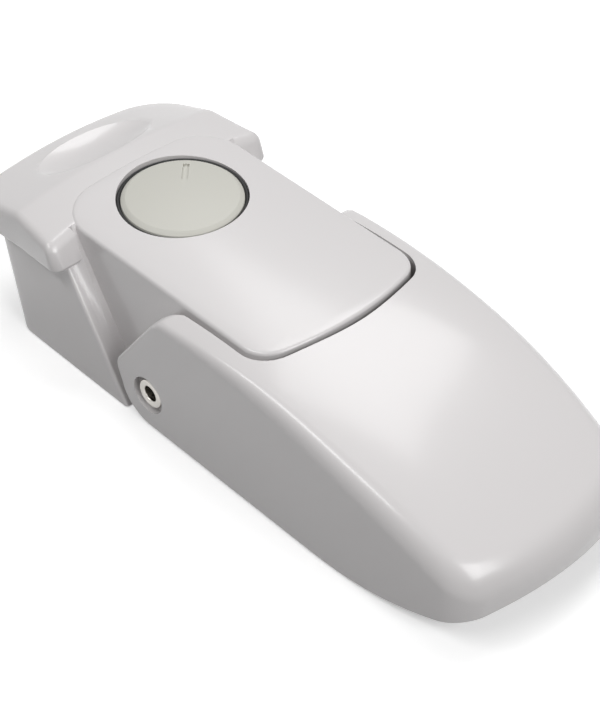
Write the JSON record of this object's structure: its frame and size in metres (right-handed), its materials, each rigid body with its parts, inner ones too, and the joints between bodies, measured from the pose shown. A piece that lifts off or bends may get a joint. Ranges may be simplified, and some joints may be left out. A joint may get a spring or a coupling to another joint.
{
  "type": "locking draw latch",
  "caption": "Locking draw latch with a hooded housing, a broad curved pull lever, a hidden draw hook and keeper, and a round quarter-turn lock in the raised pad.",
  "frame": {"origin": "on the mounting panel, straight below the lever's pivot axis and on the middle plane", "axes": "+X towards the free end of the lever, +Z away from the panel, +Y across the latch to the side that the picture hides"},
  "size_m": [0.1299, 0.0506, 0.0306],
  "materials": {
    "painted_casting": "satin powder coat on zinc die casting",
    "plated_steel": "bright zinc plate",
    "spring_steel": "drawn and oiled",
    "nylon": "natural moulded",
    "rubber": "moulded matt",
    "satin_disc": "satin nickel"
  },
  "bodies": {
    "base": {"housing": "painted_casting", "pivot_rivet_near": "plated_steel", "pivot_rivet_far": "plated_steel", "pivot_washer_near": "nylon", "pivot_washer_far": "nylon", "lock_washer": "spring_steel", "lock_seal": "rubber", "guide_plate_front": "plated_steel", "guide_plate_rear": "plated_steel", "guide_screws": "plated_steel", "keeper": "plated_steel"},
    "lever_body": {"lever": "painted_casting", "lever_buffer": "rubber", "hook_pin": "plated_steel", "hook_spacer_near": "nylon", "hook_spacer_far": "nylon"},
    "hook_body": {"draw_hook": "plated_steel", "hook_spring": "spring_steel"},
    "lock_body": {"lock_disc": "satin_disc", "lock_core": "plated_steel", "lock_clip": "spring_steel"},
    "bolt_body": {"lock_bolt": "plated_steel"}
  },
  "joints": [
    {"name": "lever_lift", "type": "hinge", "parent": "base", "child": "lever_body", "pos_m": [0, 0, 0.0074], "axis": [0, -1, 0], "range_deg": [0, 64]},
    {"name": "hook_swing", "type": "hinge", "parent": "lever_body", "child": "hook_body", "pos_m": [0.00999, 0, 0.00688], "axis": [0, -1, 0], "range_deg": [-61, 0], "deforming": ["hook_spring"]},
    {"name": "lock_turn", "type": "hinge", "parent": "base", "child": "lock_body", "pos_m": [-0.0163, 0, 0.0304], "axis": [0, 0, -1], "range_deg": [0, 90]},
    {"name": "bolt_slide", "type": "slide", "parent": "base", "child": "bolt_body", "axis": [1, 0, 0], "range_m": [0, 0.006]}
  ],
  "couplings": [
    {"joint": "hook_swing", "follows": "lever_lift", "ratio": -0.95},
    {"joint": "bolt_slide", "follows": "lock_turn", "m_per_rad": 0.003817}
  ]
}
